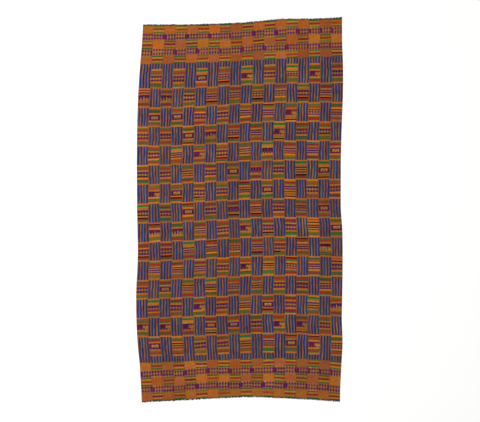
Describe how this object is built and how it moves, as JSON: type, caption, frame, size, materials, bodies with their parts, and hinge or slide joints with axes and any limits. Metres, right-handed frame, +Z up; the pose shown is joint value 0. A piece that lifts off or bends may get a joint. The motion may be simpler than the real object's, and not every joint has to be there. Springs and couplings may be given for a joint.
{
  "type": "kente cloth",
  "caption": "Strip-woven kente cloth lying flat: narrow strips sewn edge to edge, checkered with weft blocks and warp stripes, orange end bands, short cut warp ends.",
  "frame": {"origin": "on the surface that the cloth lies on, under the middle of its box", "axes": "+Z up off the surface, +Y along the strips towards the top edge, +X across the strips towards the last one"},
  "size_m": [1.7586, 3.2762, 0.0073],
  "materials": {
    "woven_cotton": "hand-woven cotton and rayon, matt with a slight sheen along the weft floats",
    "cut_warp": "short cut ends of dark blue and orange warp yarn, matt"
  },
  "bodies": {
    "root": {"strip_01": "woven_cotton", "strip_02": "woven_cotton", "strip_03": "woven_cotton", "strip_04": "woven_cotton", "strip_05": "woven_cotton", "strip_06": "woven_cotton", "strip_07": "woven_cotton", "strip_08": "woven_cotton", "strip_09": "woven_cotton", "strip_10": "woven_cotton", "strip_11": "woven_cotton", "strip_12": "woven_cotton", "strip_13": "woven_cotton", "strip_14": "woven_cotton", "strip_15": "woven_cotton", "strip_16": "woven_cotton", "strip_17": "woven_cotton", "strip_18": "woven_cotton", "fringe_top": "cut_warp", "fringe_bottom": "cut_warp"}
  },
  "joints": []
}
